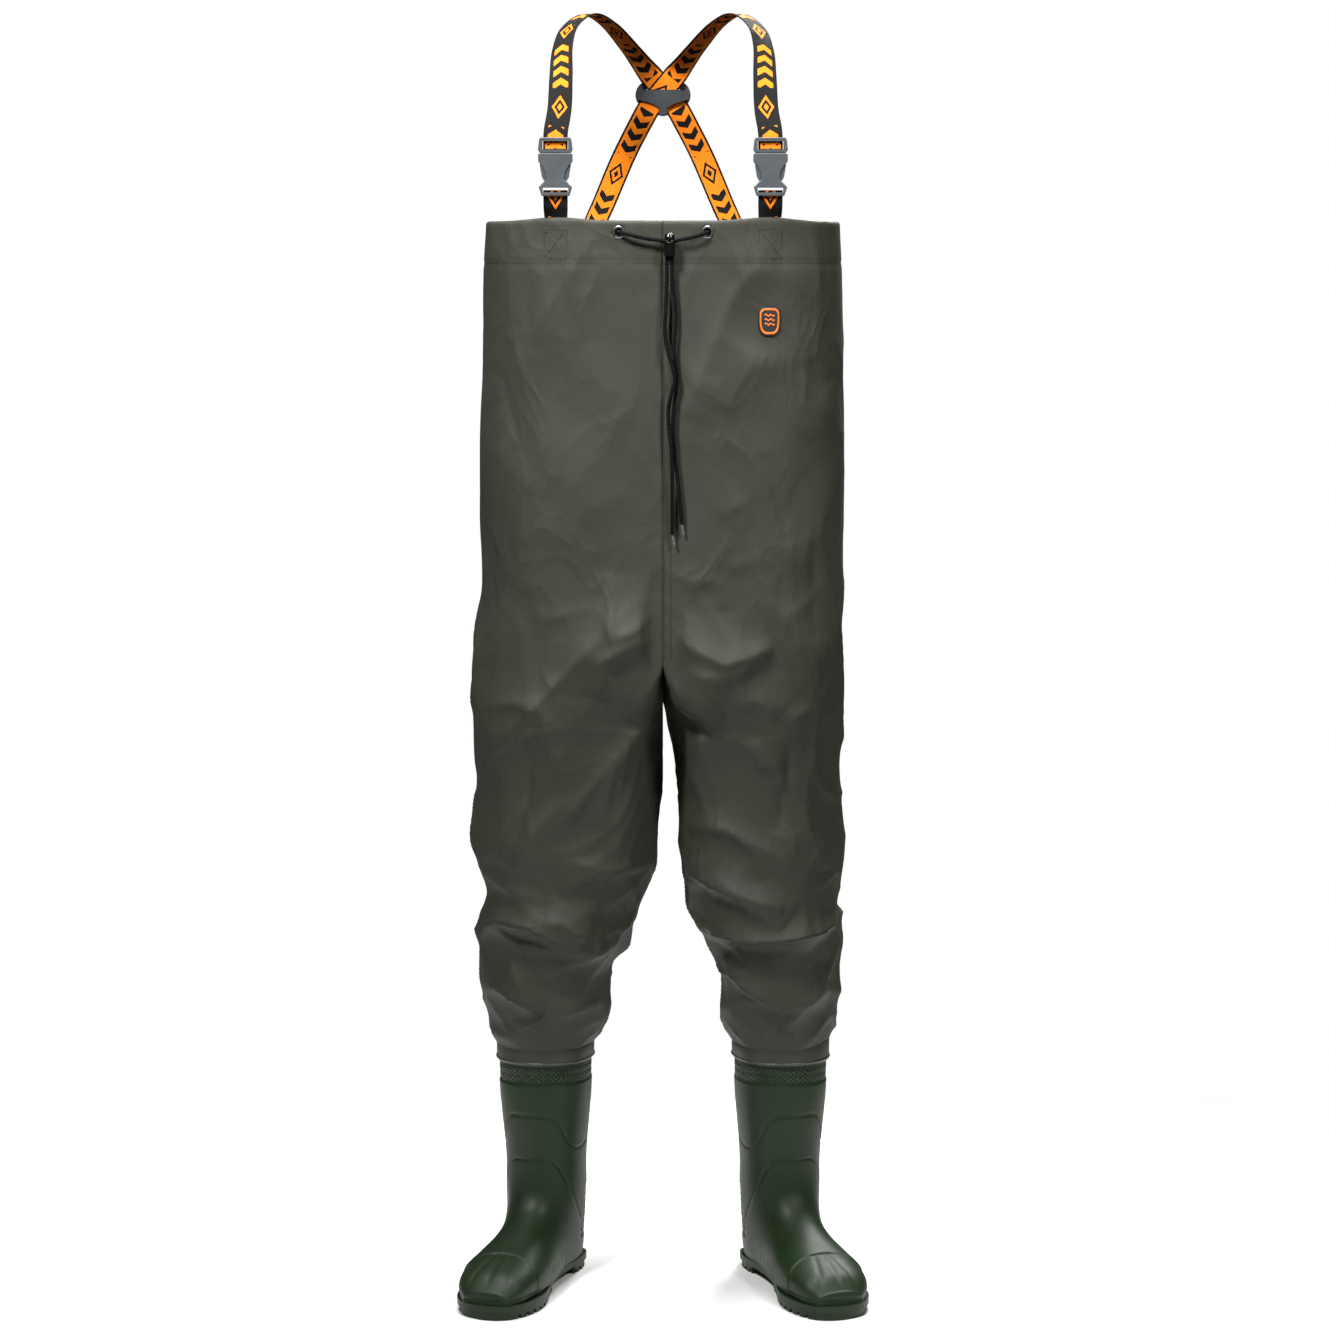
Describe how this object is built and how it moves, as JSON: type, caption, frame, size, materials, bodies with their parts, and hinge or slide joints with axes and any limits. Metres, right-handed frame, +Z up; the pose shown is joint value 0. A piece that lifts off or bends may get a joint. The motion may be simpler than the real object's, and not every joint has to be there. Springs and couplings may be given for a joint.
{
  "type": "chest waders",
  "caption": "Waterproof fabric chest waders with welded boots, drawcord hem with cord lock, and elastic braces with side-release buckles.",
  "frame": {"origin": "on the ground under the middle of the model's box, cords left out", "axes": "+Z up, toes towards -Y, the wearer's left is +X"},
  "size_m": [0.5188, 0.358, 1.6207],
  "materials": {
    "body_fabric": "matte coated nylon",
    "seam_tape": "matte",
    "boot_pvc": "satin moulded PVC",
    "boot_lining": "knitted nylon",
    "insole_foam": "felt on foam",
    "cuff_pvc": "satin",
    "eyelet_metal": "nickel plated",
    "drawcord": "braided polyester",
    "aglet_plastic": "clear sleeve",
    "spring_steel": "drawn wire",
    "cord_lock_plastic": "gloss moulded",
    "webbing": "woven elastic, orange and black",
    "buckle_plastic": "satin moulded acetal",
    "badge_rubber": "moulded silicone",
    "badge_relief_rubber": "moulded silicone"
  },
  "bodies": {
    "root": {"brace_cross_plate": "buckle_plastic", "centre_seam_tape": "seam_tape", "chest_badge": "badge_rubber", "chest_badge_relief": "badge_relief_rubber", "drawcord_hem_run": "drawcord", "hem_casing": "body_fabric", "left_boot_insole": "insole_foam", "left_boot_lining": "boot_lining", "left_boot_outsole": "boot_pvc", "left_boot_upper": "boot_pvc", "left_brace": "webbing", "left_buckle_housing_back": "buckle_plastic", "left_buckle_housing_foot": "buckle_plastic", "left_buckle_housing_front": "buckle_plastic", "left_buckle_housing_post_inner": "buckle_plastic", "left_buckle_housing_post_outer": "buckle_plastic", "left_cord_aglet": "aglet_plastic", "left_drawcord_tail": "drawcord", "left_eyelet": "eyelet_metal", "left_eyelet_washer": "eyelet_metal", "left_fabric_half": "body_fabric", "left_leg_cuff_band": "cuff_pvc", "left_stub_strap": "webbing", "right_boot_insole": "insole_foam", "right_boot_lining": "boot_lining", "right_boot_outsole": "boot_pvc", "right_boot_upper": "boot_pvc", "right_brace": "webbing", "right_buckle_housing_back": "buckle_plastic", "right_buckle_housing_foot": "buckle_plastic", "right_buckle_housing_front": "buckle_plastic", "right_buckle_housing_post_inner": "buckle_plastic", "right_buckle_housing_post_outer": "buckle_plastic", "right_cord_aglet": "aglet_plastic", "right_drawcord_tail": "drawcord", "right_eyelet": "eyelet_metal", "right_eyelet_washer": "eyelet_metal", "right_fabric_half": "body_fabric", "right_leg_cuff_band": "cuff_pvc", "right_stub_strap": "webbing"},
    "cord_lock": {"cord_lock_body": "cord_lock_plastic", "cord_lock_spring": "spring_steel"},
    "lock_button": {"cord_lock_button": "cord_lock_plastic"},
    "left_plug": {"left_buckle_plug": "buckle_plastic", "left_buckle_tongue": "buckle_plastic"},
    "left_prong_outer": {"left_buckle_prong_outer": "buckle_plastic"},
    "left_prong_inner": {"left_buckle_prong_inner": "buckle_plastic"},
    "right_plug": {"right_buckle_plug": "buckle_plastic", "right_buckle_tongue": "buckle_plastic"},
    "right_prong_outer": {"right_buckle_prong_outer": "buckle_plastic"},
    "right_prong_inner": {"right_buckle_prong_inner": "buckle_plastic"}
  },
  "joints": [
    {"name": "left_buckle_release", "type": "slide", "parent": "root", "child": "left_plug", "axis": [0, 0, 1], "range_m": [0, 0.036], "deforming": ["left_brace"]},
    {"name": "left_prong_outer_press", "type": "hinge", "parent": "left_plug", "child": "left_prong_outer", "pos_m": [0.14835, -0.08202, 1.4405], "axis": [0, 1, 0], "range_deg": [0, 8], "stiffness_Nm_per_rad": 0.2},
    {"name": "left_prong_inner_press", "type": "hinge", "parent": "left_plug", "child": "left_prong_inner", "pos_m": [0.11565, -0.08202, 1.4405], "axis": [0, -1, 0], "range_deg": [0, 8], "stiffness_Nm_per_rad": 0.2},
    {"name": "right_buckle_release", "type": "slide", "parent": "root", "child": "right_plug", "axis": [0, 0, 1], "range_m": [0, 0.036], "deforming": ["right_brace"]},
    {"name": "right_prong_outer_press", "type": "hinge", "parent": "right_plug", "child": "right_prong_outer", "pos_m": [-0.14835, -0.08202, 1.4405], "axis": [0, -1, 0], "range_deg": [0, 8], "stiffness_Nm_per_rad": 0.2},
    {"name": "right_prong_inner_press", "type": "hinge", "parent": "right_plug", "child": "right_prong_inner", "pos_m": [-0.11565, -0.08202, 1.4405], "axis": [0, 1, 0], "range_deg": [0, 8], "stiffness_Nm_per_rad": 0.2},
    {"name": "cord_lock_slide", "type": "slide", "parent": "root", "child": "cord_lock", "axis": [0, 0, -1], "range_m": [0, 0.03]},
    {"name": "cord_lock_press", "type": "slide", "parent": "cord_lock", "child": "lock_button", "axis": [0, 0, -1], "range_m": [0, 0.0025], "stiffness_N_per_m": 800, "springref_m": -0.002, "deforming": ["cord_lock_spring"]}
  ]
}
